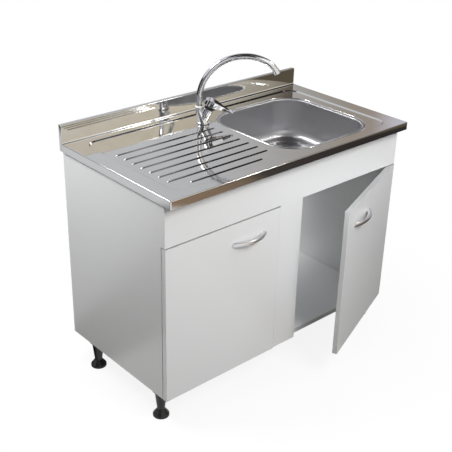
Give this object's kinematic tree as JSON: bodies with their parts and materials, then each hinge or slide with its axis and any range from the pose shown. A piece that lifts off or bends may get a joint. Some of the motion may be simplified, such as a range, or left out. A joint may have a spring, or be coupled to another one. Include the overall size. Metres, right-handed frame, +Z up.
{
  "type": "kitchen sink unit",
  "caption": "Two-door base cabinet on screw legs with a steel drainer top, one bowl, bottle trap and swan-neck lever mixer tap.",
  "frame": {"origin": "on the floor, at the middle of the whole unit's plan box with the right door ajar as pictured", "axes": "+X to the right along the front, +Y to the wall, +Z up"},
  "size_m": [1.1, 0.7412, 1.105],
  "materials": {
    "white_laminate": "glossy white laminate on particle board",
    "polished_steel": "polished stainless steel",
    "satin_steel": "satin stainless steel",
    "chrome": "polished chrome",
    "black_plastic": "black moulded plastic",
    "white_plastic": "white moulded polypropylene",
    "rubber": "black rubber",
    "buffer_rubber": "clear soft bumper",
    "beech": "beech",
    "brass": "turned brass",
    "zinc_steel": "zinc plated steel"
  },
  "bodies": {
    "cabinet": {"bottom_panel": "white_laminate", "bowl_damping_pad": "black_plastic", "cabinet_screws": "zinc_steel", "centre_stile": "white_laminate", "deck_brackets": "zinc_steel", "door_buffers": "buffer_rubber", "front_fascia": "white_laminate", "hinge_arms": "zinc_steel", "hinge_plates": "zinc_steel", "left_side_panel": "white_laminate", "leg_front_left": "black_plastic", "leg_front_right": "black_plastic", "leg_rear_left": "black_plastic", "leg_rear_right": "black_plastic", "rear_bottom_rail": "white_laminate", "rear_top_rail": "white_laminate", "right_side_panel": "white_laminate", "sink_bowl": "satin_steel", "sink_deck": "polished_steel", "stile_plate": "zinc_steel", "tap_base_gasket": "rubber", "tap_body": "chrome", "tap_cartridge": "white_plastic", "tap_cartridge_nut": "brass", "tap_clamp_gasket": "rubber", "tap_clamp_plate": "zinc_steel", "tap_glide_ring": "white_plastic", "tap_stud": "zinc_steel", "tap_stud_nut": "zinc_steel", "trap_body": "white_plastic", "trap_cup": "white_plastic", "trap_inlet_tube": "white_plastic", "trap_nuts": "white_plastic", "trap_outlet_pipe": "white_plastic", "waste_flange": "satin_steel", "waste_gasket": "rubber", "waste_housing": "white_plastic", "waste_screw": "zinc_steel", "wood_dowels": "beech"},
    "left_door": {"left_door_panel": "white_laminate", "left_door_screws": "zinc_steel", "left_handle": "chrome", "left_hinge_cups": "zinc_steel", "left_hinge_pins": "zinc_steel"},
    "right_door": {"right_door_panel": "white_laminate", "right_door_screws": "zinc_steel", "right_handle": "chrome", "right_hinge_cups": "zinc_steel", "right_hinge_pins": "zinc_steel"},
    "spout": {"tap_aerator": "chrome", "tap_spout": "chrome"},
    "lever_stem": {"tap_lever_pin": "zinc_steel", "tap_spindle": "zinc_steel"},
    "lever": {"tap_lever": "chrome"},
    "strainer": {"strainer_basket": "satin_steel"},
    "foot_front_left_body": {"foot_front_left": "black_plastic"},
    "foot_front_right_body": {"foot_front_right": "black_plastic"},
    "foot_rear_left_body": {"foot_rear_left": "black_plastic"},
    "foot_rear_right_body": {"foot_rear_right": "black_plastic"}
  },
  "joints": [
    {"name": "left_door_hinge", "type": "hinge", "parent": "cabinet", "child": "left_door", "pos_m": [-0.5376, -0.18687, 0.391], "axis": [0, 0, 1], "range_deg": [-95, 0]},
    {"name": "right_door_hinge", "type": "hinge", "parent": "cabinet", "child": "right_door", "pos_m": [0.5376, -0.18687, 0.391], "axis": [0, 0, 1], "range_deg": [-21.5, 73.5]},
    {"name": "spout_swivel", "type": "hinge", "parent": "cabinet", "child": "spout", "pos_m": [-0.0497, 0.24054, 0.9075], "axis": [0, 0, 1], "range_deg": [-120, 60]},
    {"name": "lever_turn", "type": "hinge", "parent": "cabinet", "child": "lever_stem", "pos_m": [-0.038, 0.22963, 0.8625], "axis": [0.3206, -0.299, 0.8988], "range_deg": [-45, 45]},
    {"name": "lever_lift", "type": "hinge", "parent": "lever_stem", "child": "lever", "pos_m": [-0.02197, 0.21468, 0.90744], "axis": [-0.682, -0.7314, 0], "range_deg": [0, 20]},
    {"name": "strainer_lift", "type": "slide", "parent": "cabinet", "child": "strainer", "axis": [0, 0, 1], "range_m": [0, 0.03]},
    {"name": "foot_front_left_height", "type": "slide", "parent": "cabinet", "child": "foot_front_left_body", "axis": [0, 0, -1], "range_m": [0, 0.02]},
    {"name": "foot_front_right_height", "type": "slide", "parent": "cabinet", "child": "foot_front_right_body", "axis": [0, 0, -1], "range_m": [0, 0.02]},
    {"name": "foot_rear_left_height", "type": "slide", "parent": "cabinet", "child": "foot_rear_left_body", "axis": [0, 0, -1], "range_m": [0, 0.02]},
    {"name": "foot_rear_right_height", "type": "slide", "parent": "cabinet", "child": "foot_rear_right_body", "axis": [0, 0, -1], "range_m": [0, 0.02]}
  ]
}
